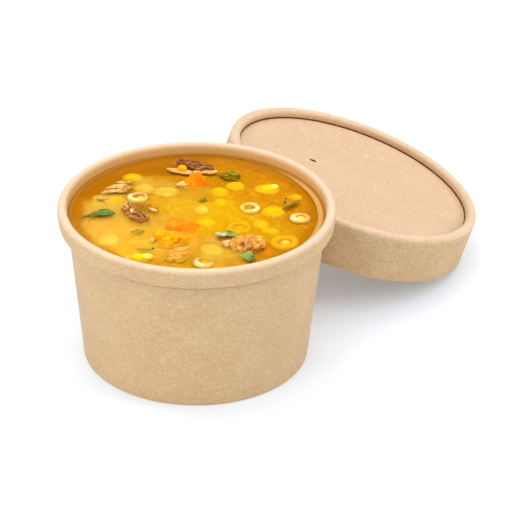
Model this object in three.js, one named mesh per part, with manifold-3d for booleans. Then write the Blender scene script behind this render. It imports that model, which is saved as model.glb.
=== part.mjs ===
// A squat kraft paper soup cup, full of soup, with its paper lid leaning against it. Millimetres, +Z up.
// The pieces are laid out round the cup's axis, and the whole is then set down with the origin
// at the middle of the underside of its bounding box.
import * as THREE from 'three';
import { mergeVertices } from 'three/addons/utils/BufferGeometryUtils.js';
import Module from 'manifold-3d';

const wasm = await Module();
wasm.setup();

// Sizes of the cup
const paper = 0.6; // thickness of the board
const clearance = 0.3; // left between two neighbouring pieces
const cupHeight = 68.8;
const rimRadius = 57.5; // widest part of the rolled rim
const rimWidth = 4.2; // across the roll
const rimDrop = 8.7; // from the top of the roll to its lower edge
const rimUndercut = 1.2; // how far the lower edge of the roll stands in from its widest part
const wallTopRadius = 53.2; // outside of the wall, just under the roll
const wallFootRadius = 47.4; // outside of the wall, at the floor
const footBend = 0.75; // outer radius of the fold at the foot
const baseRecess = 7.2; // height of the base's underside over the floor
const baseSkirt = 5.6; // depth of the base's turned-down edge
const hemHeight = 6.2; // how far the foot is folded up inside

// Sizes of the lid
const lidTopRadius = 58.5; // outside of the skirt, under the bead
const lidEdgeRadius = 58.8; // outside of the skirt, at its open edge
const lidDrop = 21.6; // from the top of the bead to the open edge
const beadWidth = 4.5;
const beadRise = 2.3; // height of the rounded part of the bead
const panelDepth = 4.0; // from the top of the bead down to the panel
const panelFlange = 1.6; // height of the panel's turned-up edge over its face
const lidCentre = { x: 68.5, y: 89.6 }; // middle of the bead's top plane, from the cup's axis
const lidTiltSide = 18.0; // degrees: the left side is up, the right side on the floor
const lidTiltBack = -2.9; // degrees: the far side is a little lower
const ventSlit = { x: -18.6, y: 5.4, length: 1.7, width: 0.6, turn: -14 };

// The soup
const soupLevel = 64.0;

const segments = 40; // round the turned pieces

const colours = {
  kraft: 0xd2b189,
  broth: 0xe6a41c,
  meat: 0x8f5a3a,
  carrot: 0xf2791a,
  squash: 0xefa21a,
  pasta: 0xf0d489,
};

// What floats in the soup. x and y are counted from the cup's axis, rise is how far the
// top stands over the soup, and square runs from 2, an egg, up to a sharp-cornered block.
const chunks = [
  { name: 'meat_back', x: -2.0, y: 39.6, width: 15.6, depth: 6.8, height: 9, rise: 3.9,
    turn: -12, square: 2.6, uneven: 0.13, seed: 1, colour: 'meat' },
  { name: 'meat_left', x: -24.6, y: -3.4, width: 12.6, depth: 12.6, height: 10, rise: 3.7,
    turn: -32, square: 2.8, uneven: 0.12, seed: 2, colour: 'meat' },
  { name: 'meat_right', x: 21.4, y: -26.0, width: 15.6, depth: 10.0, height: 10, rise: 3.8,
    turn: -4, square: 2.4, uneven: 0.14, seed: 3, colour: 'meat' },
  { name: 'carrot_back', x: -1.4, y: 26.9, width: 11.0, depth: 9.6, height: 10, rise: 3.5,
    turn: 38, square: 4.5, uneven: 0.04, seed: 4, colour: 'carrot' },
  { name: 'carrot_middle', x: -5.8, y: -9.8, width: 13.4, depth: 10.4, height: 10, rise: 1.7,
    turn: -9, square: 6, uneven: 0.03, seed: 5, colour: 'carrot' },
  { name: 'squash_front', x: -9.6, y: -24.6, width: 16.0, depth: 12.6, height: 10, rise: 3.0,
    turn: -24, square: 3, uneven: 0.1, seed: 6, colour: 'squash' },
];

// Short pasta rings that lie in the surface
const ringOuter = 4.5; // outer radius
const ringBore = 3.2;
const ringLength = 3.0;
const ringRise = 0.4; // top over the soup
const rings = [
  { name: 'pasta_ring_left', x: -25.2, y: 13.3, tiltX: 3, tiltY: 4 },
  { name: 'pasta_ring_middle', x: 21.4, y: 6.1, tiltX: -4, tiltY: 2 },
  { name: 'pasta_ring_right', x: 42.4, y: -1.4, tiltX: 2, tiltY: -4 },
  { name: 'pasta_ring_front', x: 4.4, y: -40.6, tiltX: 6, tiltY: 9 },
];

const radians = THREE.MathUtils.degToRad;

// Points on a quarter or half ellipse, from one angle to another in degrees
function arc(centre, radiusAcross, radiusUp, from, to, steps) {
  const points = [];
  for (let i = 0; i <= steps; i++) {
    const angle = radians(from + ((to - from) * i) / steps);
    points.push(new THREE.Vector2(
      centre.x + radiusAcross * Math.cos(angle), centre.y + radiusUp * Math.sin(angle)));
  }
  return points;
}

// The closed outline of a sheet of the given thickness whose middle line runs through the points
function sheetOutline(line, thickness) {
  const sides = [[], []];
  line.forEach((point, i) => {
    const before = line[Math.max(i - 1, 0)];
    const after = line[Math.min(i + 1, line.length - 1)];
    const toPoint = point.clone().sub(before);
    const fromPoint = after.clone().sub(point);
    if (i === 0) toPoint.copy(fromPoint);
    if (i === line.length - 1) fromPoint.copy(toPoint);
    const along = toPoint.normalize().add(fromPoint.normalize());
    const halfTurn = along.length() / 2; // cosine of half the bend at this point
    const offset = new THREE.Vector2(-along.y, along.x).normalize()
      .multiplyScalar(thickness / 2 / halfTurn);
    sides[0].push(point.clone().sub(offset));
    sides[1].unshift(point.clone().add(offset));
  });
  return [...sides[0], ...sides[1]];
}

// Turns an outline, x across and y up, about the Z axis. A closed outline is given once round.
function turned(outline, closed = true) {
  const points = closed ? [...outline, outline[0].clone()] : outline;
  return new THREE.LatheGeometry(points, segments).rotateX(Math.PI / 2);
}

// Closed meshes to manifold solids and back
function solidOf(geometry) {
  const bare = geometry.clone();
  bare.deleteAttribute('normal');
  bare.deleteAttribute('uv');
  const merged = mergeVertices(bare, 1e-4);
  return new wasm.Manifold(new wasm.Mesh({
    numProp: 3,
    vertProperties: new Float32Array(merged.attributes.position.array),
    triVerts: new Uint32Array(merged.index.array),
  }));
}

function geometryOf(solid) {
  const mesh = solid.getMesh();
  const geometry = new THREE.BufferGeometry();
  geometry.setAttribute('position', new THREE.BufferAttribute(mesh.vertProperties, 3));
  geometry.setIndex(new THREE.BufferAttribute(mesh.triVerts, 1));
  geometry.computeVertexNormals();
  return geometry;
}

function piece(name, geometry, colour, roughness) {
  const material = new THREE.MeshStandardMaterial({ color: colours[colour], roughness, metalness: 0 });
  const mesh = new THREE.Mesh(geometry, material);
  mesh.name = name;
  return mesh;
}

// Outside radius of the cup's wall at a height over the floor
const rimUnderside = cupHeight - rimDrop;
function wallRadius(height) {
  return wallFootRadius + ((wallTopRadius - wallFootRadius) * height) / rimUnderside;
}

// The wall is one sheet: folded up inside at the foot, and rolled outwards at the rim
function cupWall() {
  const half = paper / 2;
  const layers = 3 * paper + 2 * clearance; // wall, the base's skirt and the hem
  const hemInset = layers - half;
  const bend = footBend - half;
  const footOuter = wallRadius(footBend) - half;
  const footInner = wallRadius(footBend) - hemInset;
  const rollCentre = { x: rimRadius - rimWidth / 2, y: cupHeight - rimWidth * 0.65 };
  const rollAcross = rimWidth / 2 - half;
  const rollUp = cupHeight - rollCentre.y - half;
  const curl = 1.3; // radius of the roll's lower outer corner
  const rollFoot = rimUnderside + half;
  const line = [
    new THREE.Vector2(wallRadius(hemHeight) - hemInset, hemHeight),
    ...arc({ x: footInner + bend, y: footBend }, bend, bend, 180, 270, 2),
    ...arc({ x: footOuter - bend, y: footBend }, bend, bend, 270, 360, 2),
    new THREE.Vector2(wallRadius(rimUnderside) - half, rimUnderside),
    ...arc(rollCentre, rollAcross, rollUp, 180, 0, 8),
    ...arc({ x: rimRadius - rimUndercut * 0.45 - half - curl, y: rollFoot + curl }, curl, curl, 0, -90, 3),
    new THREE.Vector2(wallTopRadius + clearance + 0.1, rollFoot),
  ];
  return turned(sheetOutline(line, paper));
}

// The base is a disc with its edge turned down between the wall and the hem
function cupBase() {
  const half = paper / 2;
  const inset = paper + clearance + half;
  const top = baseRecess + half;
  const bend = 1.0;
  const edge = wallRadius(top - bend) - inset;
  const line = [
    new THREE.Vector2(0, top),
    ...arc({ x: edge - bend, y: top - bend }, bend, bend, 90, 0, 2),
    new THREE.Vector2(wallRadius(top - baseSkirt) - inset, top - baseSkirt),
  ];
  return turned(sheetOutline(line, paper), false);
}

// The lid's ring is one sheet: skirt, rounded bead and a lip that presses on the panel
function lidRing() {
  const half = paper / 2;
  const centre = { x: lidTopRadius - beadWidth / 2, y: -beadRise };
  const across = beadWidth / 2 - half;
  const line = [
    new THREE.Vector2(lidEdgeRadius - half, -lidDrop),
    ...arc(centre, across, beadRise - half, 0, 180, 8),
    new THREE.Vector2(centre.x - across, -panelDepth + clearance),
  ];
  return turned(sheetOutline(line, paper));
}

// The panel has its edge turned up inside the bead
function lidPanel() {
  const half = paper / 2;
  const face = -panelDepth - half;
  const edge = lidTopRadius - beadWidth + paper + clearance + half;
  const bend = 0.5;
  const line = [
    new THREE.Vector2(0, face),
    ...arc({ x: edge - bend, y: face + bend }, bend, bend, 270, 360, 2),
    new THREE.Vector2(edge, -panelDepth + panelFlange),
  ];
  const slit = new THREE.BoxGeometry(ventSlit.length, ventSlit.width, 4 * paper)
    .rotateZ(radians(ventSlit.turn))
    .translate(ventSlit.x, ventSlit.y, face);
  const disc = solidOf(turned(sheetOutline(line, paper), false));
  return geometryOf(disc.subtract(solidOf(slit)));
}

// An uneven chunk: a block or egg whose surface rises and falls with the direction
function chunk({ x, y, width, depth, height, rise, turn, square, uneven, seed }, grow = 0) {
  const geometry = new THREE.SphereGeometry(1, 12, 8);
  const place = geometry.attributes.position;
  const point = new THREE.Vector3();
  for (let i = 0; i < place.count; i++) {
    point.fromBufferAttribute(place, i);
    const reach = [point.x, point.y, point.z]
      .reduce((sum, part) => sum + Math.abs(part) ** square, 0) ** (-1 / square);
    const waves = Math.sin(3.1 * point.x + 2.3 * seed) * Math.cos(2.7 * point.y - 1.7 * seed)
      + 0.6 * Math.sin(5.2 * point.z + 4.1 * point.x + seed);
    point.multiplyScalar(reach * (1 + uneven * waves * 0.6));
    point.multiply(new THREE.Vector3(width / 2 + grow, depth / 2 + grow, height / 2 + grow));
    place.setXYZ(i, point.x, point.y, point.z);
  }
  geometry.rotateZ(radians(turn));
  return geometry.translate(x, y, soupLevel + rise - height / 2);
}

// A short tube of pasta with rounded ends
function pastaRing({ x, y, tiltX, tiltY }, grow = 0) {
  const wall = ringOuter - ringBore + 2 * grow;
  const high = ringLength + 2 * grow;
  const middle = (ringOuter + ringBore) / 2;
  const shoulder = 0.28; // how far the sides' straight part reaches from the middle, of the height
  const outline = [
    [-0.5, -shoulder], [0, -0.5], [0.5, -shoulder], [0.5, shoulder], [0, 0.5], [-0.5, shoulder],
  ].map(([across, up]) => new THREE.Vector2(middle + across * wall, up * high));
  return new THREE.LatheGeometry([...outline, outline[0].clone()], 14)
    .rotateX(Math.PI / 2)
    .rotateX(radians(tiltX))
    .rotateY(radians(tiltY))
    .translate(x, y, soupLevel + ringRise - ringLength / 2);
}

// The soup fills the cup from its base to the level, and is cut round what floats in it
function soupBody() {
  const bottom = baseRecess + paper + clearance;
  const inset = paper + clearance;
  const outline = [
    new THREE.Vector2(0, bottom),
    new THREE.Vector2(wallRadius(bottom) - inset, bottom),
    new THREE.Vector2(wallRadius(soupLevel) - inset, soupLevel),
    new THREE.Vector2(0, soupLevel),
  ];
  let soup = solidOf(turned(outline, false));
  for (const item of chunks) soup = soup.subtract(solidOf(chunk(item, clearance)));
  for (const ring of rings) soup = soup.subtract(solidOf(pastaRing(ring, clearance)));
  return geometryOf(soup);
}

const cup = new THREE.Group();
cup.add(
  piece('cup_wall', cupWall(), 'kraft', 0.75),
  piece('cup_base', cupBase(), 'kraft', 0.75),
  piece('soup', soupBody(), 'broth', 0.2),
  ...chunks.map((item) => piece(item.name, chunk(item), item.colour, 0.5)),
  ...rings.map((ring) => piece(ring.name, pastaRing(ring), 'pasta', 0.35)),
);

// The lid stands on the floor on its lowest edge and leans against the cup
const lid = new THREE.Group();
lid.add(
  piece('lid_ring', lidRing(), 'kraft', 0.75),
  piece('lid_panel', lidPanel(), 'kraft', 0.75),
);
lid.rotation.set(radians(lidTiltBack), radians(lidTiltSide), 0);
const upright = Math.cos(radians(lidTiltBack)) * Math.cos(radians(lidTiltSide));
const lidHeight = lidDrop * upright + lidEdgeRadius * Math.sqrt(1 - upright ** 2);
lid.position.set(lidCentre.x, lidCentre.y, lidHeight);

const whole = new THREE.Group();
whole.add(cup, lid);
const bounds = new THREE.Box3().setFromObject(whole, true);
const middle = bounds.getCenter(new THREE.Vector3());
whole.position.set(-middle.x, -middle.y, -bounds.min.z);

export default whole;
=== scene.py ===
import math
import random

import bmesh
import bpy
from mathutils import Matrix, Vector


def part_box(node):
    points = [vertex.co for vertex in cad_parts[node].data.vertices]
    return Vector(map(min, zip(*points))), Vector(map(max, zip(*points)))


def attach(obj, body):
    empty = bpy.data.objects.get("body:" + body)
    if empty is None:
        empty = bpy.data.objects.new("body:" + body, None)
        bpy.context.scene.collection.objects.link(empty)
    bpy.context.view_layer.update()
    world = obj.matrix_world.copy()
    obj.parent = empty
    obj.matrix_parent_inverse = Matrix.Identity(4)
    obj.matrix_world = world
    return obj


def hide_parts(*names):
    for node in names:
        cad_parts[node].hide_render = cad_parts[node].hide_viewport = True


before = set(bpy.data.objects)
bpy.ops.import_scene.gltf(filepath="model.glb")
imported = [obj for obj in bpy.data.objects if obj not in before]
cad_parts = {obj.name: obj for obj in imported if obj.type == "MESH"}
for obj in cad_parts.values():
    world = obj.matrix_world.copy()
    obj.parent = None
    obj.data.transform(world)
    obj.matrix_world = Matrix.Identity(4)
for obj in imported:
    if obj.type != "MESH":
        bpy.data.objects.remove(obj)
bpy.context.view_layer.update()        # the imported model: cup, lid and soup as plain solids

mm = 0.001

# The cup's axis and the soup's level come from the frame; everything else is placed from them
wallLow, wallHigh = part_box("cup_wall")
cupX = (wallLow[0] + wallHigh[0]) / 2
cupY = (wallLow[1] + wallHigh[1]) / 2
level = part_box("soup")[1][2]
print("frame loaded with", len(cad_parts), "nodes")


def overSoup(x, y, z=0.0):
    # a place in millimetres from the middle of the soup's surface
    return Vector((cupX + x * mm, cupY + y * mm, level + z * mm))


def setMode(mode):
    bpy.ops.object.mode_set(mode=mode)


def selectAll():
    bpy.ops.mesh.select_all(action="SELECT")


def deselectAll():
    if bpy.context.object and bpy.context.object.mode != "OBJECT":
        setMode("OBJECT")
    bpy.ops.object.select_all(action="DESELECT")


def makeActive(piece):
    deselectAll()
    piece.select_set(True)
    bpy.context.view_layer.objects.active = piece


def applyModifiers(piece):
    makeActive(piece)
    for modifier in list(piece.modifiers):
        bpy.ops.object.modifier_apply(modifier=modifier.name)


def applyPlace(piece):
    makeActive(piece)
    bpy.ops.object.transform_apply(location=True, rotation=True, scale=True)


def joinPieces(pieces, name):
    makeActive(pieces[0])
    for other in pieces[1:]:
        other.select_set(True)
    if len(pieces) > 1:
        bpy.ops.object.join()
    joined = bpy.context.object
    joined.name = name
    joined.data.name = name
    return joined


def copyOf(piece):
    double = piece.copy()
    double.data = piece.data.copy()
    bpy.context.collection.objects.link(double)
    return double


def finishPiece(piece, name, material, nodes=(), angle=50):
    # last steps that every piece gets: place in the mesh, smooth shading, material and body
    applyPlace(piece)
    bpy.ops.object.shade_smooth_by_angle(angle=math.radians(angle))
    piece.name = name
    piece.data.name = name
    piece.data.materials.clear()
    piece.data.materials.append(material)
    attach(piece, "root")
    if nodes:
        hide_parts(*nodes)
    return piece


def recalculateNormals(piece):
    makeActive(piece)
    setMode("EDIT")
    selectAll()
    bpy.ops.mesh.normals_make_consistent(inside=False)
    setMode("OBJECT")


def arcPoints(centreX, centreZ, radiusX, radiusZ, start, end, steps):
    # (radius, height) points along part of an ellipse, angles in degrees
    points = []
    for i in range(steps + 1):
        angle = math.radians(start + (end - start) * i / steps)
        points.append((centreX + radiusX * math.cos(angle), centreZ + radiusZ * math.sin(angle)))
    return points


def straightPoints(start, end, steps):
    # points between two corners, without the corners themselves
    return [(start[0] + (end[0] - start[0]) * i / steps, start[1] + (end[1] - start[1]) * i / steps)
            for i in range(1, steps)]


def ringedSheet(name, line, steps, closeMiddle=False):
    # A circle pulled along a line of (radius, height) points, one extruded loop for each point.
    # closeMiddle draws the last loop together on the axis.
    deselectAll()
    radius, height = line[0]
    bpy.ops.mesh.primitive_circle_add(vertices=steps, radius=radius * mm, location=(0, 0, height * mm))
    piece = bpy.context.object
    piece.name = name
    bpy.ops.object.transform_apply(location=True)
    setMode("EDIT")
    bpy.ops.mesh.select_mode(type="EDGE")
    selectAll()
    for nextRadius, nextHeight in line[1:]:
        rise = (0, 0, (nextHeight - height) * mm)
        bpy.ops.mesh.extrude_region_move(TRANSFORM_OT_translate={"value": rise})
        scale = nextRadius / radius
        bpy.ops.transform.resize(value=(scale, scale, 1), center_override=(0, 0, nextHeight * mm))
        radius, height = nextRadius, nextHeight
    if closeMiddle:
        bpy.ops.mesh.merge(type="CENTER")
    selectAll()
    bpy.ops.mesh.normals_make_consistent(inside=False)
    setMode("OBJECT")
    return piece


def thicken(piece, thickness):
    solid = piece.modifiers.new("board", "SOLIDIFY")
    solid.thickness = thickness * mm
    solid.offset = 0
    solid.use_even_offset = True
    applyModifiers(piece)


def roughen(piece, strength, size, stretch=(1, 1, 1), turn=0.0, direction="NORMAL", group="",
            shift=(0, 0, 0)):
    # Pushes the surface in and out by a cloudy texture. size is in millimetres, and stretch
    # draws the texture out along the turned axes, as for meat fibres.
    texture = bpy.data.textures.new("relief", "CLOUDS")
    texture.noise_scale = size
    guide = bpy.data.objects.new("reliefGuide", None)
    bpy.context.collection.objects.link(guide)
    guide.location = Vector(shift) * mm
    guide.rotation_euler = (0, 0, math.radians(turn))
    guide.scale = [mm * amount for amount in stretch]
    bpy.context.view_layer.update()
    push = piece.modifiers.new("relief", "DISPLACE")
    push.texture = texture
    push.texture_coords = "OBJECT"
    push.texture_coords_object = guide
    push.strength = strength * mm
    push.mid_level = 0.5
    push.direction = direction
    if group:
        push.vertex_group = group
    applyModifiers(piece)
    bpy.data.objects.remove(guide)
    bpy.data.textures.remove(texture)


def fuse(pieces, name, voxel):
    # several overlapping lumps become one closed skin
    piece = joinPieces(pieces, name)
    applyPlace(piece)
    skin = piece.modifiers.new("skin", "REMESH")
    skin.mode = "VOXEL"
    skin.voxel_size = voxel * mm
    applyModifiers(piece)
    return piece


def smoothPiece(piece, rounds):
    soft = piece.modifiers.new("soft", "SMOOTH")
    soft.iterations = rounds
    applyModifiers(piece)


# Nodes

def tone(red, green, blue):
    # a colour as read from a picture, 0 to 255, to the linear values that a shader takes
    def linear(value):
        value /= 255
        return value / 12.92 if value <= 0.04045 else ((value + 0.055) / 1.055) ** 2.4
    return (linear(red), linear(green), linear(blue), 1.0)


def plug(tree, socket, value):
    # a socket gets a link or a fixed value
    if isinstance(value, bpy.types.NodeSocket):
        tree.links.new(value, socket)
    else:
        socket.default_value = value


def addNode(tree, kind, inputs=None, **settings):
    node = tree.nodes.new("ShaderNode" + kind)
    for key, value in settings.items():
        setattr(node, key, value)
    for key, value in (inputs or {}).items():
        plug(tree, node.inputs[key], value)
    return node


def calculate(tree, operation, first, second=0.0, third=0.0):
    return addNode(tree, "Math", {0: first, 1: second, 2: third}, operation=operation).outputs[0]


def times(tree, first, second):
    return calculate(tree, "MULTIPLY", first, second)


def plus(tree, first, second):
    return calculate(tree, "ADD", first, second)


def minus(tree, first, second):
    return calculate(tree, "SUBTRACT", first, second)


def larger(tree, first, second):
    return calculate(tree, "MAXIMUM", first, second)


def scaled(tree, value, factor, added):
    return calculate(tree, "MULTIPLY_ADD", value, factor, added)


def mixColour(tree, factor, first, second):
    return addNode(tree, "Mix", {0: factor, 6: first, 7: second}, data_type="RGBA").outputs[2]


def ramp(tree, value, low, high, start=0.0, end=1.0, shape="SMOOTHSTEP"):
    # from start to end while the value goes from low to high
    return addNode(tree, "MapRange", {0: value, 1: low, 2: high, 3: start, 4: end},
                   interpolation_type=shape).outputs[0]


def seenFrom(tree, place, at, turn, size):
    # the place as seen from a frame of its own: its middle, turn in degrees and size
    return addNode(tree, "Mapping", {"Vector": place, "Location": at, "Scale": size,
                                     "Rotation": (0, 0, math.radians(turn))},
                   vector_type="TEXTURE").outputs[0]


def noise(tree, place, scale, detail=2.0, roughness=0.5, distortion=0.0, stretch=None, turn=0.0):
    if stretch:
        place = addNode(tree, "Mapping", {"Vector": place, "Scale": stretch,
                                          "Rotation": (0, 0, math.radians(turn))}).outputs[0]
    node = addNode(tree, "TexNoise", {"Vector": place, "Scale": scale, "Detail": detail,
                                      "Roughness": roughness, "Distortion": distortion})
    return node.outputs[0]


def newGroup(name, inputs, outputs):
    tree = bpy.data.node_groups.new(name, "ShaderNodeTree")
    for way, sockets in ("INPUT", inputs), ("OUTPUT", outputs):
        for label, kind in sockets.items():
            tree.interface.new_socket(label, in_out=way, socket_type="NodeSocket" + kind)
    return tree, tree.nodes.new("NodeGroupInput"), tree.nodes.new("NodeGroupOutput")


def useGroup(tree, group, inputs):
    return addNode(tree, "Group", inputs, node_tree=group)


def newMaterial(name):
    material = bpy.data.materials.new(name)
    material.use_nodes = True
    tree = material.node_tree
    tree.nodes.clear()
    output = addNode(tree, "OutputMaterial")
    shader = addNode(tree, "BsdfPrincipled")
    tree.links.new(shader.outputs[0], output.inputs[0])
    return material, tree, shader


def feed(tree, node, **values):
    for key, value in values.items():
        plug(tree, node.inputs[key.replace("_", " ")], value)


def millimetres(tree, place=None):
    # object coordinates in millimetres, from the cup's axis at the soup's level or in another frame
    where = addNode(tree, "TexCoord").outputs["Object"]
    if place is None:
        place = Matrix.Translation((cupX, cupY, level))
    moved = addNode(tree, "Mapping", {"Vector": where, "Location": place.to_translation(),
                                      "Rotation": place.to_euler(), "Scale": (mm, mm, mm)},
                    vector_type="TEXTURE")
    return moved.outputs[0]


def splitPlace(tree, place):
    x, y, z = addNode(tree, "SeparateXYZ", {0: place}).outputs
    squares = plus(tree, times(tree, x, x), times(tree, y, y))
    return x, y, z, calculate(tree, "SQRT", squares)


def bumped(tree, height, strength, distance, normal=None):
    inputs = {"Height": height, "Strength": strength, "Distance": distance * mm}
    if normal is not None:
        inputs["Normal"] = normal
    return addNode(tree, "Bump", inputs).outputs[0]


# Kraft board: clouded and flecked, with short fibres in the surface
# Some of these tones are painted light: the top tone and the paler pair are painted sheen and highlight,
# the line under the rim and the line under the bead's lip are painted shadow, the shade tone is a painted
# shadow side, and the golden tone above the soup is a painted reflection.
kraftTones = {
    "light": tone(199, 168, 128), "dark": tone(177, 144, 103), "sheenLight": tone(209, 180, 149),
    "sheenDark": tone(188, 157, 123), "top": tone(226, 204, 178), "fleck": tone(120, 84, 48),
    "lipShadow": tone(124, 66, 20), "fold": tone(146, 112, 74), "shade": tone(196, 146, 86),
    "wet": tone(192, 134, 24), "soupGlow": tone(204, 152, 74), "slit": tone(46, 30, 16),
    "scratch": tone(130, 90, 52)}


def makeKraftFibre():
    group, start, end = newGroup(
        "kraftFibre", {"Place": "Vector", "Light": "Color", "Dark": "Color", "Contrast": "Float"},
        {"Color": "Color", "Roughness": "Float", "Height": "Float"})
    place = start.outputs["Place"]
    clouds = noise(group, place, 0.07, 3, 0.55)
    mottle = noise(group, place, 0.3, 4, 0.65)
    grain = noise(group, place, 0.95, 4, 0.75)
    fibreA = noise(group, place, 0.9, 2, 0.5, 0.6, stretch=(0.28, 1.5, 1.1), turn=24)
    fibreB = noise(group, place, 1.0, 2, 0.5, 0.6, stretch=(1.4, 0.3, 1.1), turn=-38)
    fibres = ramp(group, larger(group, fibreA, fibreB), 0.5, 0.75)
    dashes = noise(group, place, 0.8, 2, 0.5, 1.2, stretch=(1.0, 2.2, 1.6), turn=60)
    flecks = ramp(group, dashes, 0.68, 0.75)
    tint = 0.5
    layers = [(clouds, 0.5, 0.45), (mottle, 0.5, 0.35), (grain, 0.5, 1.4), (fibres, 0.3, 0.3)]
    for pattern, middle, weight in layers:
        tint = scaled(group, minus(group, pattern, middle), weight, tint)
    away = minus(group, tint, 0.5)
    tint = scaled(group, away, start.outputs["Contrast"], 0.5)
    tint = ramp(group, tint, -0.35, 1.35, -0.35, 1.35)
    colour = mixColour(group, tint, start.outputs["Dark"], start.outputs["Light"])
    colour = mixColour(group, times(group, flecks, 0.22), colour, kraftTones["fleck"])
    height = plus(group, times(group, fibres, 0.6), times(group, grain, 0.5))
    feed(group, end, Color=colour, Roughness=ramp(group, mottle, 0.25, 0.75, 0.5, 0.66), Height=height)
    return group


kraftFibre = makeKraftFibre()


def kraftPaper(tree, place, pale, contrast):
    # the board's colour; it is paler by the mask, a painted sheen where the board faces the overhead light
    return useGroup(tree, kraftFibre, {
        "Place": place, "Light": mixColour(tree, pale, kraftTones["light"], kraftTones["sheenLight"]),
        "Dark": mixColour(tree, pale, kraftTones["dark"], kraftTones["sheenDark"]), "Contrast": contrast})


cup = {"paper": 0.6, "clearance": 0.3, "height": 68.8, "rimRadius": 57.5, "rimWidth": 4.2, "rimDrop": 8.7,
       "rimUndercut": 0.54, "rollDrop": 2.73, "curl": 1.3, "wallTopRadius": 53.2, "wallFootRadius": 47.4,
       "footBend": 0.75, "baseRecess": 7.2, "baseSkirt": 5.6, "baseBend": 1.0, "hemHeight": 6.2,
       "uneven": (0.22, 26), "steps": 160}
rimUnderside = cup["height"] - cup["rimDrop"]


def wallRadius(height):
    # outside of the cup's wall at a height over the floor
    slope = (cup["wallTopRadius"] - cup["wallFootRadius"]) / rimUnderside
    return cup["wallFootRadius"] + slope * height


def makeCupPaper():
    material, tree, shader = newMaterial("kraft_cup")
    place = millimetres(tree)
    z, radius = splitPlace(tree, place)[2:]
    # painted sheen and highlight: the rim is drawn in paler tones above the soup's level, and paler still
    # on its crown
    paper = kraftPaper(tree, place, ramp(tree, z, 2.6, 4.6, 0.0, 0.8), 1.0)
    rimHighlight = ramp(tree, z, 2.4, 6.0, 0.0, 0.7)
    board = mixColour(tree, rimHighlight, paper.outputs["Color"], kraftTones["top"])
    # painted shadow: a thin dark line on the wall just under the rolled rim
    foldHeight = rimUnderside - level / mm
    fold = times(tree, ramp(tree, z, foldHeight - 2.8, foldHeight - 1.2, 0.0, 0.6),
                 ramp(tree, z, foldHeight - 0.1, foldHeight + 0.4, 1.0, 0.0))
    board = mixColour(tree, fold, board, kraftTones["fold"])
    # the soup has soaked a brown line into the wall where it stands, broken up by the fibres
    wander = scaled(tree, noise(tree, place, 0.16, 3), 1.6, -0.8)
    over = plus(tree, z, wander)
    outside = cup["wallTopRadius"] + 0.7
    inside = times(tree, ramp(tree, radius, outside, outside + 0.7, 1.0, 0.0), ramp(tree, z, -3.0, -1.0))
    soaked = times(tree, ramp(tree, over, 0.1, 0.9, 0.85, 0.0), inside)
    # painted reflection: the inner wall above the soup is tinted golden, as light from the soup would
    # colour it
    glow = times(tree, ramp(tree, z, 0.0, 6.4, 0.8, 0.0), inside)
    colour = mixColour(tree, glow, board, kraftTones["soupGlow"])
    colour = mixColour(tree, soaked, colour, kraftTones["wet"])
    feed(tree, shader, Base_Color=colour, Roughness=paper.outputs["Roughness"], Specular_IOR_Level=0.35,
         Normal=bumped(tree, paper.outputs["Height"], 0.35, 0.06))
    return material


def makeCup():
    half = cup["paper"] / 2
    hemInset = 3 * cup["paper"] + 2 * cup["clearance"] - half
    bend = cup["footBend"] - half
    footOuter = wallRadius(cup["footBend"]) - half
    footInner = wallRadius(cup["footBend"]) - hemInset
    rollX = cup["rimRadius"] - cup["rimWidth"] / 2
    rollZ = cup["height"] - cup["rollDrop"]
    curl = cup["curl"]
    rollFoot = rimUnderside + half
    curlX = cup["rimRadius"] - cup["rimUndercut"] - half - curl
    wallTop = (wallRadius(rimUnderside) - half, rimUnderside)
    rollStart = (rollX - cup["rimWidth"] / 2 + half, rollZ)
    line = [(wallRadius(cup["hemHeight"]) - hemInset, cup["hemHeight"])]
    line += arcPoints(footInner + bend, cup["footBend"], bend, bend, 180, 270, 4)
    line += arcPoints(footOuter - bend, cup["footBend"], bend, bend, 270, 360, 4)
    line += straightPoints(line[-1], wallTop, 22) + [wallTop]
    line += straightPoints(wallTop, rollStart, 3)
    line += arcPoints(rollX, rollZ, cup["rimWidth"] / 2 - half, cup["height"] - rollZ - half, 180, 0, 18)
    line += arcPoints(curlX, rollFoot + curl, curl, curl, 0, -90, 6)
    line += [(cup["wallTopRadius"] + cup["clearance"] + 0.1, rollFoot)]
    piece = ringedSheet("cup_shell", line, cup["steps"])
    thicken(piece, cup["paper"])
    piece.location = (cupX, cupY, 0)
    applyPlace(piece)
    roughen(piece, *cup["uneven"])
    return finishPiece(piece, "cup_shell", cupPaper, ["cup_wall"])


def makeCupBase():
    half = cup["paper"] / 2
    inset = cup["paper"] + cup["clearance"] + half
    top = cup["baseRecess"] + half
    bend = cup["baseBend"]
    edge = wallRadius(top - bend) - inset
    foot = top - cup["baseSkirt"]
    line = [(wallRadius(foot) - inset, foot)]
    line += arcPoints(edge - bend, top - bend, bend, bend, 0, 90, 5)
    line += straightPoints((edge - bend, top), (1.0, top), 12) + [(1.0, top)]
    piece = ringedSheet("cup_underside", line, cup["steps"] // 2, closeMiddle=True)
    thicken(piece, cup["paper"])
    piece.location = (cupX, cupY, 0)
    return finishPiece(piece, "cup_underside", cupPaper, ["cup_base"])


lid = {"x": 68.5, "y": 89.6, "tiltSide": 18.0, "tiltBack": -2.9, "topRadius": 58.5, "edgeRadius": 58.8,
       "drop": 21.6, "beadWidth": 4.5, "beadRise": 2.3, "panelDepth": 4.0, "panelBend": 0.5, "flange": 1.6,
       "vent": (-18.6, 5.4, 0), "ventSize": (2.4, 0.95), "ventDepth": 0.9, "ventTurn": -14,
       "scratch": (17.8, 7.6, 0), "scratchSize": (2.2, 0.3, 1.0), "scratchTurn": -24,
       "uneven": (0.2, 24), "steps": 160}


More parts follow.
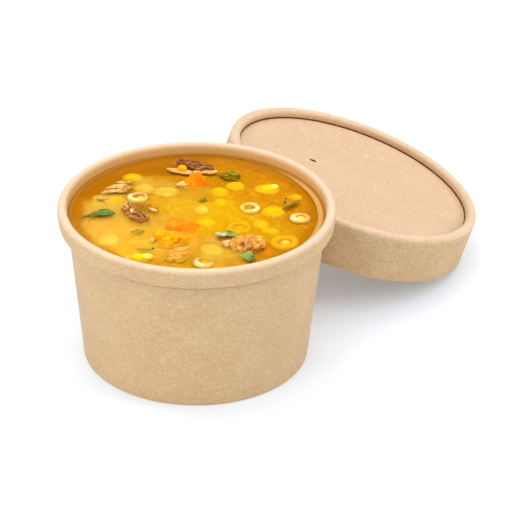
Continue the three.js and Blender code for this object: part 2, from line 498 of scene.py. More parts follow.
def lidPlace():
    # where the lid's bead lies, in the same way as the frame's lid: turned about X, then about Y
    side, back = math.radians(lid["tiltSide"]), math.radians(lid["tiltBack"])
    turn = Matrix.Rotation(back, 4, "X") @ Matrix.Rotation(side, 4, "Y")
    upright = turn.col[2][2]
    height = lid["drop"] * upright + lid["edgeRadius"] * math.sqrt(1 - upright ** 2)
    return Matrix.Translation((cupX + lid["x"] * mm, cupY + lid["y"] * mm, height * mm)) @ turn


def makeLidPaper():
    material, tree, shader = newMaterial("kraft_lid")
    place = millimetres(tree, lidPlace())
    x, y, z, radius = splitPlace(tree, place)
    lip, panel = lid["topRadius"] - lid["beadWidth"], -lid["panelDepth"]
    # painted sheen: the panel and the bead's top are drawn in paler tones, as the overhead light makes them
    # look
    onPanel = ramp(tree, radius, lip + 0.6, lip + 1.4, 1.0, 0.0)
    pale = larger(tree, onPanel, ramp(tree, z, -4.5, 0.0))
    paper = kraftPaper(tree, place, pale, ramp(tree, radius, lip - 1.0, lip + 3.0, 0.9, 1.35))
    # a painted highlight along the bead's crest
    board = mixColour(tree, ramp(tree, z, -2.4, -0.6, 0.0, 0.25), paper.outputs["Color"], kraftTones["top"])
    # the bead's inner side is painted in a warm shade, the colour its shadow side takes
    beadShadeSide = times(tree, ramp(tree, radius, lip - 0.8, lip + 0.8, 0.6, 0.0),
                      ramp(tree, z, panel + 0.1, panel + 0.8))
    board = mixColour(tree, beadShadeSide, board, kraftTones["shade"])
    # painted shadow: a dark line under the bead's lip, where it lies on the panel
    waver = scaled(tree, noise(tree, place, 0.3, 2), 0.5, -0.25)
    gap = minus(tree, plus(tree, radius, waver), lip)
    lipShadow = times(tree, ramp(tree, calculate(tree, "ABSOLUTE", gap), 0.25, 0.75, 0.95, 0.0),
                   ramp(tree, z, panel + 0.5, panel + 0.9, 1.0, 0.0))
    colour = mixColour(tree, lipShadow, board, kraftTones["lipShadow"])
    # a short scratch on the panel, broken up
    scratched = seenFrom(tree, place, lid["scratch"], lid["scratchTurn"], lid["scratchSize"])
    broken = ramp(tree, noise(tree, place, 1.3, 1), 0.42, 0.55)
    scratch = times(tree, ramp(tree, splitPlace(tree, scratched)[3], 0.6, 1.1, 0.9, 0.0), broken)
    colour = mixColour(tree, scratch, colour, kraftTones["scratch"])
    # painted shade round the slit, where the cut looks into the dark under the lid
    length, width = lid["ventSize"]
    slit = seenFrom(tree, place, lid["vent"], lid["ventTurn"], (length / 2 + 0.45, width / 2 + 0.5, 9))
    slitShade = ramp(tree, splitPlace(tree, slit)[3], 0.8, 1.15, 1.0, 0.0)
    colour = mixColour(tree, slitShade, colour, kraftTones["slit"])
    # fine wrinkles across the bead, where the board is drawn round
    angle = calculate(tree, "ARCTAN2", y, x)
    along = addNode(tree, "CombineXYZ", {0: times(tree, angle, 60), 1: times(tree, radius, 0.25),
                                         2: times(tree, z, 0.25)}).outputs[0]
    wrinkles = times(tree, noise(tree, along, 0.8, 2, 0.5), ramp(tree, z, -3.4, -1.4, 0.0, 1.6))
    height = plus(tree, paper.outputs["Height"], wrinkles)
    feed(tree, shader, Base_Color=colour, Roughness=paper.outputs["Roughness"], Specular_IOR_Level=0.35,
         Normal=bumped(tree, height, 0.35, 0.06))
    return material


def makeLidRing():
    half = cup["paper"] / 2
    beadX = lid["topRadius"] - lid["beadWidth"] / 2
    across = lid["beadWidth"] / 2 - half
    edge = (lid["edgeRadius"] - half, -lid["drop"])
    shoulder = (beadX + across, -lid["beadRise"])
    line = [edge] + straightPoints(edge, shoulder, 10)
    line += arcPoints(beadX, -lid["beadRise"], across, lid["beadRise"] - half, 0, 180, 18)
    line += [(beadX - across, -lid["panelDepth"] + cup["clearance"])]
    piece = ringedSheet("lid_rim", line, lid["steps"])
    thicken(piece, cup["paper"])
    piece.matrix_world = lidPlace()
    applyPlace(piece)
    roughen(piece, *lid["uneven"])
    return finishPiece(piece, "lid_rim", lidPaper, ["lid_ring"])


def makeLidPanel():
    half = cup["paper"] / 2
    face = -lid["panelDepth"] - half
    edge = lid["topRadius"] - lid["beadWidth"] + cup["paper"] + cup["clearance"] + half
    bend = lid["panelBend"]
    line = [(edge, -lid["panelDepth"] + lid["flange"])]
    line += arcPoints(edge - bend, face + bend, bend, bend, 0, -90, 5)
    line += straightPoints((edge - bend, face), (1.0, face), 24) + [(1.0, face)]
    piece = ringedSheet("lid_top", line, lid["steps"], closeMiddle=True)
    thicken(piece, cup["paper"])
    # the vent is a slit pressed almost through the board
    ventX, ventY, ventZ = lid["vent"]
    bpy.ops.mesh.primitive_cube_add(
        size=1, location=(ventX * mm, ventY * mm, (ventZ + face + half) * mm),
        rotation=(0, 0, math.radians(lid["ventTurn"])),
        scale=[size * mm for size in (*lid["ventSize"], lid["ventDepth"])])
    cutter = bpy.context.object
    slit = piece.modifiers.new("vent", "BOOLEAN")
    slit.operation = "DIFFERENCE"
    slit.solver = "EXACT"
    slit.object = cutter
    applyModifiers(piece)
    bpy.data.objects.remove(cutter)
    piece.matrix_world = lidPlace()
    applyPlace(piece)
    return finishPiece(piece, "lid_top", lidPaper, ["lid_panel"])


# The broth's colours, by place. Each patch is a soft-edged oval: middle, half size, turn, how
# soft its edge is, how strongly it colours, and its colour. Later patches lie over earlier ones.
broth = {"base": tone(200, 132, 0), "deep": tone(178, 112, 0), "swirlPale": tone(246, 204, 60),
         "swirlBrown": tone(206, 138, 14), "mottlePale": tone(248, 206, 52),
         "mottleBrown": tone(206, 134, 8), "rimReflection": tone(206, 156, 88), "line": tone(158, 102, 14),
         "filmVeil": (0.08, 0.4),
         "coreDepth": 1.2, "brinkDepth": 0.12, "shelf": 1.2, "shelfSlope": 3.0, "edgeRadius": 51.9,
         "gap": 0.02}

# the pale, milky patches on the left half are partly the broth's own colour and partly a painted reflection
# of a soft box
brothPatches = [
    (24, 10, 24, 20, 0, 0.5, 0.8, tone(202, 135, 0)),
    (6, 0, 20, 17, 0, 0.5, 0.95, tone(218, 173, 0)),
    (24, -12, 17, 10, -10, 0.5, 0.75, tone(210, 157, 0)),
    (-10, 4, 15, 14, 0, 0.45, 0.85, tone(222, 173, 28)),
    (-20, 27, 14, 6, -24, 0.3, 0.85, tone(214, 171, 54)),
    (-3, 21, 8, 8, 0, 0.4, 0.7, tone(208, 159, 38)),
    (-24, -24, 24, 17, 0, 0.4, 0.9, tone(234, 187, 52)),
    (-38, -12, 13, 17, 0, 0.4, 0.85, tone(232, 183, 66)),
    (-34, 6, 11, 11, 20, 0.4, 0.85, tone(222, 179, 68)),
    (-39, 14, 8, 7, 40, 0.4, 0.75, tone(218, 177, 58)),
    (13, -33, 11, 8, 20, 0.5, 0.8, tone(224, 185, 58)),
    (12, -22, 9, 5, 10, 0.5, 0.6, tone(232, 183, 76)),
    (-8, -36, 10, 7, 10, 0.5, 0.7, tone(226, 167, 36)),
    (0, -46, 18, 4.5, 0, 0.4, 0.8, tone(224, 173, 2)),
    (-14, -8, 8, 7, 0, 0.5, 0.6, tone(220, 171, 58)),
    (36, -32, 13, 10, 40, 0.4, 0.8, tone(194, 127, 0)),
]
# where the soup is milky, partly its own colour and partly a painted reflection of a soft box over the left
# half: middle and half size
milkPatches = [(-34, -8, 18, 18), (-16, 24, 18, 8), (-24, -34, 18, 10), (12, -30, 12, 9), (-2, 18, 9, 8),
               (-6, -34, 12, 9), (-10, 2, 12, 12)]


def ovalMask(tree, place, x, y, across, along, turn, softness):
    near = seenFrom(tree, place, (x, y, 0), turn, (across, along, 30))
    away = addNode(tree, "VectorMath", {0: near}, operation="LENGTH").outputs["Value"]
    return ramp(tree, away, 1.0 - softness, 1.0 + softness, 1.0, 0.0)


def makeBrothTone():
    group, start, end = newGroup("brothTone", {"Place": "Vector"}, {"Color": "Color", "Milk": "Float"})
    place = start.outputs["Place"]
    # the patches' edges wander by a few millimetres
    warp = addNode(group, "TexNoise", {"Vector": place, "Scale": 0.11, "Detail": 3.0}).outputs[1]
    shifted = addNode(group, "VectorMath", {0: warp, 1: (0.5, 0.5, 0.5)}, operation="SUBTRACT").outputs[0]
    pushed = addNode(group, "VectorMath", {0: shifted, "Scale": 13.0}, operation="SCALE").outputs[0]
    bent = addNode(group, "VectorMath", {0: place, 1: pushed}, operation="ADD").outputs[0]
    fine = noise(group, bent, 0.25, 4, 0.6)
    streaks = noise(group, bent, 0.12, 3, 0.55, stretch=(0.5, 1.5, 1.0), turn=12)
    colour = mixColour(group, ramp(group, streaks, 0.3, 0.75, 0.35, 0.0), broth["base"], broth["deep"])
    for x, y, across, along, turn, softness, strength, patch in brothPatches:
        mask = times(group, ovalMask(group, bent, x, y, across, along, turn, softness), strength)
        mask = times(group, mask, ramp(group, fine, 0.2, 0.6, 0.72, 1.0))
        colour = mixColour(group, mask, colour, patch)
    # fat and starch drawn out in cloudy swirls, and a finer mottle
    mottle = noise(group, bent, 0.75, 3, 0.6)
    for pattern, low, high, first, last, name in (
            (fine, 0.5, 0.7, 0.0, 0.3, "swirlPale"), (fine, 0.3, 0.48, 0.28, 0.0, "swirlBrown"),
            (mottle, 0.5, 0.68, 0.0, 0.22, "mottlePale"), (mottle, 0.34, 0.48, 0.2, 0.0, "mottleBrown")):
        colour = mixColour(group, ramp(group, pattern, low, high, first, last), colour, broth[name])
    # darker broth along the back wall, a painted reflection of the cup's wall and painted shade, and darker
    # round the whole edge, painted shade near the wall
    x, y, _, radius = splitPlace(group, bent)
    backShadeAndReflection = minus(group, 1.0, ovalMask(group, bent, -8, 0, 36.6, 36.6, 0, 0.03))
    backShadeAndReflection = times(group, backShadeAndReflection, ramp(group, y, 6.0, 16.0))
    backShadeAndReflection = times(group, backShadeAndReflection, ramp(group, x, 0.0, 8.0, 1.0, 0.0))
    brink = ramp(group, radius, 45.0, 50.0, 0.0, 0.7)
    colour = mixColour(group, larger(group, backShadeAndReflection, brink), colour, broth["deep"])
    milk = 0.0
    for x, y, across, along in milkPatches:
        milk = larger(group, milk, ovalMask(group, bent, x, y, across, along, 0, 0.45))
    milk = times(group, milk, ramp(group, fine, 0.25, 0.6, 0.5, 1.0))
    milk = times(group, milk, minus(group, 1.0, backShadeAndReflection))
    feed(group, end, Color=colour, Milk=milk)
    return group


brothTone = makeBrothTone()


def makeBrothCore():
    material, tree, shader = newMaterial("broth_body")
    tones = useGroup(tree, brothTone, {"Place": millimetres(tree)})
    feed(tree, shader, Base_Color=tones.outputs["Color"], Roughness=0.6, Specular_IOR_Level=0.0)
    return material


def makeBrothFilm():
    # the clear top of the soup: it lets the sunk things show, veils them where it is milky,
    # and carries the shine
    material, tree, shader = newMaterial("broth_surface")
    place = millimetres(tree)
    tones = useGroup(tree, brothTone, {"Place": place})
    x, y, _, radius = splitPlace(tree, place)
    veil = ramp(tree, tones.outputs["Milk"], 0.0, 1.0, *broth["filmVeil"])
    # a darker brown line runs round the edge, painted shade where the soup meets the wall, and inside it a
    # pale band, a painted reflection of the rim where the soup climbs the wall, broad on the right, thin on
    # the left and gone at the back
    angle = calculate(tree, "ARCTAN2", y, x)
    rightSide = ramp(tree, calculate(tree, "COSINE", plus(tree, angle, 0.05)), 0.25, 0.95)
    fromLeft = calculate(tree, "COSINE", minus(tree, angle, 2.7))
    leftSide = ramp(tree, fromLeft, 0.6, 0.95, 0.0, 0.6)
    width = scaled(tree, rightSide, 1.5, 0.5)
    wander = scaled(tree, noise(tree, place, 0.11, 2), 0.7, -0.35)
    inner = minus(tree, broth["edgeRadius"], width)
    past = minus(tree, plus(tree, radius, wander), inner)
    rimReflection = times(tree, ramp(tree, past, -0.1, 0.35), larger(tree, rightSide, leftSide))
    edgeContactShade = ramp(tree, radius, broth["edgeRadius"] - 0.15, broth["edgeRadius"] + 0.3)
    colour = mixColour(tree, rimReflection, tones.outputs["Color"], broth["rimReflection"])
    colour = mixColour(tree, times(tree, edgeContactShade, 0.85), colour, broth["line"])
    opaque = times(tree, larger(tree, rimReflection, edgeContactShade), 0.94)
    ripple = bumped(tree, noise(tree, place, 0.14, 3), 0.2, 0.5)
    feed(tree, shader, Base_Color=colour, Alpha=larger(tree, veil, opaque), Normal=ripple,
         Roughness=0.3, Specular_IOR_Level=0.0)
    shine = addNode(tree, "BsdfGlossy", {"Color": (1, 1, 1, 1), "Roughness": 0.1, "Normal": ripple})
    rim = addNode(tree, "Fresnel", {"IOR": 1.33, "Normal": ripple}).outputs[0]
    mixed = addNode(tree, "MixShader", {0: times(tree, rim, 0.7), 1: shader.outputs[0],
                                        2: shine.outputs[0]})
    tree.links.new(mixed.outputs[0], tree.nodes["Material Output"].inputs[0])
    return material


def sunkColour(tree, place, colour, depths):
    # a thing under the surface fades into the broth with its depth, and its shading flattens
    tones = useGroup(tree, brothTone, {"Place": place})
    start, end = depths
    fade = ramp(tree, splitPlace(tree, place)[2], -end, -start, 1.0, 0.0)
    mixed = mixColour(tree, fade, colour, tones.outputs["Color"])
    geometry = addNode(tree, "NewGeometry")
    bent = addNode(tree, "Mix", {0: fade, 4: geometry.outputs["Normal"], 5: (0, 0, 1)}, data_type="VECTOR")
    return mixed, bent.outputs[1], fade


def makeFoodMaterial(name, settings):
    # Flesh of one kind: tones in a cloudy or fibrous pattern, with a painted highlight on its ridges
    # and painted shade in its hollows, wet on top, with painted shade at the waterline, and fading under
    # the soup
    material, tree, shader = newMaterial(name)
    place = millimetres(tree)
    dark, main, light, pale = [tone(*shade) for shade in settings["tones"]]
    stretch, turn = settings.get("fibres", ((1, 1, 1), 0))
    pattern = noise(tree, place, settings["scale"], 4, 0.6, 0.4, stretch=stretch, turn=turn)
    speck = noise(tree, place, settings["scale"] * 2.7, 3, 0.6)
    colour = mixColour(tree, ramp(tree, pattern, 0.34, 0.54), dark, main)
    colour = mixColour(tree, ramp(tree, pattern, 0.52, 0.68), colour, light)
    colour = mixColour(tree, ramp(tree, speck, 0.6, 0.72, 0.0, settings.get("speckle", 0.4)), colour, pale)
    # painted highlight on the ridges and painted shade in the hollows, by the surface's pointiness
    if "ridgeShading" in settings:
        pointy = addNode(tree, "NewGeometry").outputs["Pointiness"]
        colour = mixColour(tree, ramp(tree, pointy, 0.5, 0.58, 0.0, settings["ridgeShading"]), colour, light)
        colour = mixColour(tree, ramp(tree, pointy, 0.42, 0.5, settings["ridgeShading"], 0.0), colour, dark)
    # painted shade: a dark band where the flesh meets the broth
    if "waterlineShade" in settings:
        z = splitPlace(tree, place)[2]
        low = times(tree, ramp(tree, z, -0.6, 0.0), ramp(tree, z, 0.2, 0.9, settings["waterlineShade"], 0.0))
        colour = mixColour(tree, low, colour, tone(*settings.get("waterlineShadeTone", (150, 84, 6))))
    colour, normal, fade = sunkColour(tree, place, colour, settings["fade"])
    feed(tree, shader, Base_Color=colour, Coat_Roughness=0.08, Specular_IOR_Level=0.05,
         Normal=bumped(tree, pattern, settings.get("bump", 0.3), 0.3, normal),
         Roughness=ramp(tree, speck, 0.3, 0.7, settings["rough"] - 0.1, settings["rough"] + 0.12),
         Coat_Weight=ramp(tree, fade, 0.0, 0.5, settings["wet"], 0.0))
    return material


# Each food: its slot, its tones from dark to pale, the pattern's scale, how rough and wet it
# is, between which depths under the surface it fades into the broth, and how strongly painted
# shade darkens it at the waterline
foods = {
    "meat": {"slot": "meat", "tones": [(84, 42, 16), (130, 76, 36), (196, 140, 86), (222, 176, 134)],
             "scale": 0.9, "fibres": ((0.3, 1.3, 1.3), -18), "rough": 0.45, "ridgeShading": 0.5, "wet": 0.12,
             "fade": (-0.1, 1.2), "waterlineShade": 0.6},
    "stew": {"slot": "meat", "tones": [(100, 52, 16), (156, 94, 38), (216, 158, 88), (244, 208, 150)],
             "scale": 0.85, "fibres": ((0.4, 1.2, 1.2), -50), "rough": 0.42, "ridgeShading": 0.5, "wet": 0.2,
             "speckle": 0.5, "fade": (-0.1, 1.2), "waterlineShade": 0.8, "waterlineShadeTone": (164, 88, 4)},
    "minced": {"slot": "meat", "tones": [(160, 98, 50), (208, 142, 62), (242, 194, 88), (252, 216, 60)],
               "scale": 0.5, "rough": 0.42, "ridgeShading": 0.3, "wet": 0.2, "speckle": 0.55,
               "fade": (-0.2, 1.2), "waterlineShade": 0.5},
    "shred": {"slot": "meat", "tones": [(214, 138, 40), (228, 162, 62), (240, 186, 96), (250, 210, 140)],
              "scale": 0.7, "rough": 0.42, "ridgeShading": 0.3, "wet": 0.1, "fade": (-0.4, 0.5), "waterlineShade": 0.2},
    "carrot": {"slot": "carrot", "tones": [(252, 112, 0), (254, 134, 0), (255, 160, 0), (255, 172, 10)],
               "scale": 0.28, "rough": 0.5, "wet": 0.0, "bump": 0.2, "fade": (0.2, 1.9)},
    "squash": {"slot": "squash", "tones": [(226, 132, 0), (246, 162, 0), (252, 186, 2), (255, 208, 60)],
               "scale": 0.5, "rough": 0.4, "ridgeShading": 0.25, "wet": 0.1, "fade": (-0.2, 1.1), "waterlineShade": 0.2},
    "pasta": {"slot": "pasta",
              "tones": [(246, 212, 128), (250, 228, 160), (254, 240, 196), (252, 240, 206)],
              "scale": 0.5, "rough": 0.36, "wet": 0.3, "bump": 0.1, "fade": (-0.1, 0.75)},
    "sunk_pasta": {"slot": "pasta", "tones": [(230, 176, 4), (238, 188, 8), (242, 198, 26), (244, 206, 50)],
                   "scale": 0.5, "rough": 0.45, "wet": 0.0, "bump": 0.0, "fade": (0.15, 1.1)},
    "corn": {"slot": "corn", "tones": [(238, 184, 0), (244, 198, 0), (248, 208, 0), (250, 216, 30)],
             "scale": 0.35, "rough": 0.36, "wet": 0.12, "bump": 0.04, "fade": (0.4, 1.3)},
    "cream": {"slot": "corn", "tones": [(246, 212, 62), (250, 222, 86), (254, 232, 124), (252, 238, 170)],
              "scale": 0.5, "rough": 0.36, "wet": 0.15, "bump": 0.04, "fade": (0.4, 1.3)},
    "fat": {"slot": "fat", "tones": [(204, 152, 72), (226, 180, 100), (244, 212, 150), (250, 230, 190)],
            "scale": 0.5, "rough": 0.4, "ridgeShading": 0.2, "wet": 0.15, "fade": (-0.4, 0.7), "waterlineShade": 0.15},
    "onion": {"slot": "fat", "tones": [(158, 92, 0), (182, 118, 0), (202, 140, 4), (248, 218, 130)],
              "scale": 0.4, "rough": 0.34, "wet": 0.15, "fade": (0.0, 1.0), "waterlineShade": 0.4},
}


def finishFood(piece, name, food, nodes=()):
    return finishPiece(piece, name, foodMaterials[food], nodes, angle=80)


# Soup: an opaque body up to just under the level, and a clear film over it

def closeHole(piece):
    # the open loop round the middle of the underside is drawn together
    makeActive(piece)
    setMode("EDIT")
    bpy.ops.mesh.select_all(action="DESELECT")
    bpy.ops.mesh.select_mode(type="EDGE")
    bpy.ops.mesh.select_non_manifold(extend=False)
    bpy.ops.mesh.merge(type="CENTER")
    setMode("OBJECT")
    recalculateNormals(piece)


def makeSoup():
    inset = cup["paper"] + broth["gap"]
    floorHeight = cup["baseRecess"] + cup["paper"] + 0.05
    topHeight = level / mm - broth["coreDepth"]
    brinkHeight = level / mm - broth["brinkDepth"]     # along the wall it stands almost at the surface
    low = (wallRadius(floorHeight) - inset, floorHeight)
    high = (wallRadius(brinkHeight) - inset, brinkHeight)
    shelf = (high[0] - broth["shelf"], brinkHeight)
    foot = (shelf[0] - broth["shelfSlope"], topHeight)
    line = [(1.0, floorHeight)] + straightPoints((1.0, floorHeight), low, 6) + [low]
    line += straightPoints(low, high, 8) + [high, shelf] + straightPoints(shelf, foot, 6) + [foot]
    line += straightPoints(foot, (1.0, topHeight), 40) + [(1.0, topHeight)]
    piece = ringedSheet("broth_body", line, cup["steps"], closeMiddle=True)
    closeHole(piece)
    piece.location = (cupX, cupY, 0)
    return finishPiece(piece, "broth_body", brothCore, ["soup"])


film = {"extra": 0.4, "slant": 0.2, "outerZone": 6.0, "wallRise": 0.7, "wallReach": 1.6, "thingRise": 0.22,
        "thingReach": 1.0, "ripple": (0.1, 9), "steps": 240}


def makeFilm(floating):
    # The film is a thin closed layer whose underside lies inside the opaque body. It climbs
    # the wall and everything that floats in it.
    under = -broth["coreDepth"] - film["extra"]
    edge = wallRadius(level / mm) - cup["paper"] - broth["gap"]
    corner, zone = edge - film["slant"], edge - film["outerZone"]
    line = [(1.0, under)] + straightPoints((1.0, under), (corner, under), 4) + [(corner, under), (edge, 0)]
    line += straightPoints((edge, 0), (zone, 0), 14) + [(zone, 0)]
    line += straightPoints((zone, 0), (1.0, 0), 80) + [(1.0, 0)]
    piece = ringedSheet("broth_surface", line, film["steps"], closeMiddle=True)
    closeHole(piece)
    piece.location = (cupX, cupY, level)
    applyPlace(piece)
    # only the top side may rise
    surface = piece.vertex_groups.new(name="surface")
    topSide = [v.index for v in piece.data.vertices if v.co.z > level - 0.5 * mm]
    surface.add(topSide, 1.0, "REPLACE")
    climbs = [("wallClimb", [bpy.data.objects["cup_shell"]], film["wallRise"], film["wallReach"]),
              ("thingClimb", floating, film["thingRise"], film["thingReach"])]
    for label, targets, rise, reach in climbs:
        lookTo = joinPieces([copyOf(target) for target in targets], label)
        near = piece.vertex_groups.new(name=label)
        near.add(topSide, 1.0, "REPLACE")
        weigh = piece.modifiers.new("near", "VERTEX_WEIGHT_PROXIMITY")
        weigh.vertex_group = label
        weigh.target = lookTo
        weigh.proximity_mode = "GEOMETRY"
        weigh.proximity_geometry = {"FACE"}
        weigh.min_dist = reach * mm
        weigh.max_dist = 0.0
        weigh.falloff_type = "SMOOTH"
        climb = piece.modifiers.new("climb", "DISPLACE")
        climb.direction = "Z"
        climb.strength = rise * mm
        climb.mid_level = 0.0
        climb.vertex_group = label
        applyModifiers(piece)
        bpy.data.objects.remove(lookTo)
    roughen(piece, *film["ripple"], direction="Z", group="surface")
    piece.vertex_groups.clear()
    return finishPiece(piece, "broth_surface", brothFilm)


def addLump(x, y, z, width, depth, height, turn=0.0):
    # one round lump of a chunk, in millimetres over the soup
    deselectAll()
    bpy.ops.mesh.primitive_ico_sphere_add(
        subdivisions=3, radius=1, location=overSoup(x, y, z), rotation=(0, 0, math.radians(turn)),
        scale=(width * mm / 2, depth * mm / 2, height * mm / 2))
    return bpy.context.object


def addBlock(x, y, z, width, depth, height, turn=0.0, tilt=0.0, taper=1.0):
    # a cut block with rounded edges, drawn in towards its top
    deselectAll()
    bpy.ops.mesh.primitive_cube_add(size=1, location=(0, 0, 0), scale=(width * mm, depth * mm, height * mm))
    block = bpy.context.object
    bpy.ops.object.transform_apply(scale=True)
    setMode("EDIT")
    selectVertices(block, lambda co: co.z > 0)
    bpy.ops.transform.resize(value=(taper, taper, 1), center_override=(0, 0, height * mm / 2))
    selectAll()
    bpy.ops.mesh.bevel(offset=0.16 * min(width, depth, height) * mm, segments=3, affect="EDGES")
    setMode("OBJECT")
    block.location = overSoup(x, y, z)
    block.rotation_euler = (math.radians(tilt), 0, math.radians(turn))
    return block


def selectVertices(piece, chosen):
    # in edit mode: selects the vertices whose place passes the test, and no others
    body = bmesh.from_edit_mesh(piece.data)
    for vertex in body.verts:
        vertex.select = chosen(vertex.co)
    body.select_flush_mode()
    bmesh.update_edit_mesh(piece.data)


def addStrand(start, end, thick, thin):
    # a tapering fibre between two places over the soup
    first, last = overSoup(*start), overSoup(*end)
    along = last - first
    deselectAll()
    bpy.ops.mesh.primitive_cone_add(
        vertices=10, radius1=thick * mm, radius2=thin * mm, depth=along.length,
        location=(first + last) / 2, rotation=along.to_track_quat("Z", "Y").to_euler())
    return bpy.context.object


def addBundle(x, y, z, length, width, height, turn, count, thick, draw):
    # fibres side by side and on top of each other, all along one direction, higher in the middle
    heading = math.radians(turn)
    along = Vector((math.cos(heading), math.sin(heading), 0))
    across = Vector((-along.y, along.x, 0))
    fibres = []
    for _ in range(count):
        side = draw.uniform(-1, 1)
        lift = draw.uniform(-0.4, 1.0) * height * (1 - 0.65 * side * side)
        middle = Vector((x, y, z)) + across * side * width / 2 + Vector((0, 0, lift))
        middle += along * draw.uniform(-0.16, 0.16) * length
        half = along * length * draw.uniform(0.28, 0.46) + across * draw.uniform(-0.5, 0.5)
        half.z = draw.uniform(-0.5, 0.5)
        size = thick * draw.uniform(0.7, 1.25)
        fibres.append(addStrand(middle - half, middle + half, size, size * draw.uniform(0.5, 0.95)))
    return fibres


def addCrumbs(x, y, z, width, depth, height, count, size, draw):
    # small round lumps heaped over an oval
    crumbs = []
    for _ in range(count):
        angle, away = draw.uniform(0, 2 * math.pi), math.sqrt(draw.uniform(0, 1))
        lift = height * math.sqrt(max(0.0, 1 - away * away)) * draw.uniform(0.75, 1.0)
        grain = size * draw.uniform(0.6, 1.35)
        crumbX = x + math.cos(angle) * away * width / 2
        crumbY = y + math.sin(angle) * away * depth / 2
        crumbs.append(addLump(crumbX, crumbY, z + lift, grain * draw.uniform(0.9, 1.5), grain,
                              grain * draw.uniform(0.7, 1.0), draw.uniform(0, 180)))
    return crumbs


# The chunks, in millimetres over the middle of the soup. A lump is x, y, z, width, depth, height
# and turn, and a block has a tilt and a taper too. A bundle is x, y, z, length, width, height,
# turn, number and thickness of its fibres. Crumbs are x, y, z, width, depth, height, number and
# size. A relief is its strength and size, and where it runs like fibres, its stretch and turn.
chunks = {
    "meat_back": {
        "food": "meat",
        "lumps": [(-3.2, 41.4, -1.8, 9, 4.4, 5.2, -18), (1.8, 39.8, -2.4, 7.0, 4.6, 4.8, -14)],
        "bundles": [
            (-4.2, 41.8, 0.9, 10.8, 2.8, 1.8, -20, 26, 0.5),
            (1.6, 40.0, 0.4, 8.4, 3.6, 1.5, -16, 22, 0.5)],
        "crumbs": [(4.4, 38.8, -0.4, 5.0, 4.4, 1.8, 26, 0.9)],
        "reliefs": [(0.7, 0.7, (2.6, 0.8, 0.8), -18)]},
    "meat_left": {
        "food": "stew",
        "lumps": [(-26.6, -1.8, -1.8, 8.0, 8.0, 6.2, -30), (-23.4, -6.0, -2.0, 8.4, 8.0, 6.4, -34)],
        "bundles": [
            (-26.4, -1.2, 0.6, 9.4, 4.6, 2.0, -62, 16, 0.7),
            (-23.2, -5.6, 0.4, 7.6, 5.6, 1.9, -42, 16, 0.8)],
        "crumbs": [
            (-28.4, 1.8, -0.2, 4.5, 5.0, 1.8, 16, 1.1), (-22.4, -7.4, 0.2, 5.6, 4.6, 1.6, 12, 1.2)],
        "reliefs": [(0.9, 1.2, (1.8, 0.8, 0.8), -50), (0.4, 0.5)]},
    "meat_right": {
        "food": "minced",
        "lumps": [(18.0, -26.4, -1.5, 7.8, 8.4, 6.6, 10), (23.4, -26.4, -1.3, 9.4, 9.6, 7.4, -6)],
        "crumbs": [
            (17.6, -26.6, -0.2, 7.6, 8.6, 2.4, 26, 2.0), (23.6, -26.2, 0.0, 9.0, 9.6, 3.0, 34, 2.2),
            (18.4, -30.6, -0.6, 7.0, 4.6, 1.2, 12, 1.7)],
        "reliefs": [(0.9, 2.2, (1.4, 0.9, 1), 0), (0.5, 0.8, (1.3, 0.8, 1), 20)]},
    "carrot_back": {
        "food": "carrot",
        "blocks": [
            (-1.2, 27.8, -0.9, 12.4, 11.2, 9.6, 40, 5, 0.34),
            (-4.4, 26.4, -3.3, 8.6, 7.6, 7.8, 20, 0, 0.6)],
        "reliefs": [(0.9, 3.4), (0.4, 0.9)]},
    "carrot_middle": {
        "food": "carrot",
        "blocks": [
            (-8.4, -9.0, -4.45, 8.6, 11.0, 9.4, -7, -3, 0.86),
            (-3.0, -10.6, -4.9, 8.4, 9.6, 9.4, -20, 0, 0.86)],
        "reliefs": [(0.9, 3.2), (0.3, 0.9)]},
    "squash_front": {
        "food": "squash",
        "lumps": [
            (-14.0, -21.2, -0.5, 6.4, 6.8, 6.4, 20), (-9.6, -21.2, -1.1, 8.4, 8.0, 6.4, -20),
            (-5.6, -22.6, -1.8, 7.4, 7.8, 5.6, -40), (-11.2, -25.6, -1.7, 9.6, 6.8, 5.4, -10)],
        "crumbs": [
            (-13.8, -21.8, 0.6, 4.6, 5.0, 1.6, 10, 1.8), (-9.0, -22.8, 0.2, 9.0, 7.0, 1.5, 20, 1.9)],
        "reliefs": [(1.1, 2.0), (0.5, 0.7)]},
}


def makeHeap(name, data, voxel, smoothing):
    # lumps of one food, heaped and fused to one skin, and given its relief
    draw = random.Random(name)
    lumps = [addLump(*entry) for entry in data.get("lumps", ())]
    lumps += [addBlock(*entry) for entry in data.get("blocks", ())]
    lean = data.get("lean", 0)
    lumps += [addLeaf(*entry[:-1], lean=lean, thick=entry[-1]) for entry in data.get("flakes", ())]
    for entry in data.get("bundles", ()):
        lumps += addBundle(*entry, draw)
    for entry in data.get("crumbs", ()):
        lumps += addCrumbs(*entry, draw)
    piece = fuse(lumps, name, voxel)
    smoothPiece(piece, smoothing)
    for relief in data["reliefs"]:
        roughen(piece, *relief)
    return piece


def makeChunk(name, data):
    return finishFood(makeHeap(name, data, 0.26, 3), name + "_food", data["food"], [name])


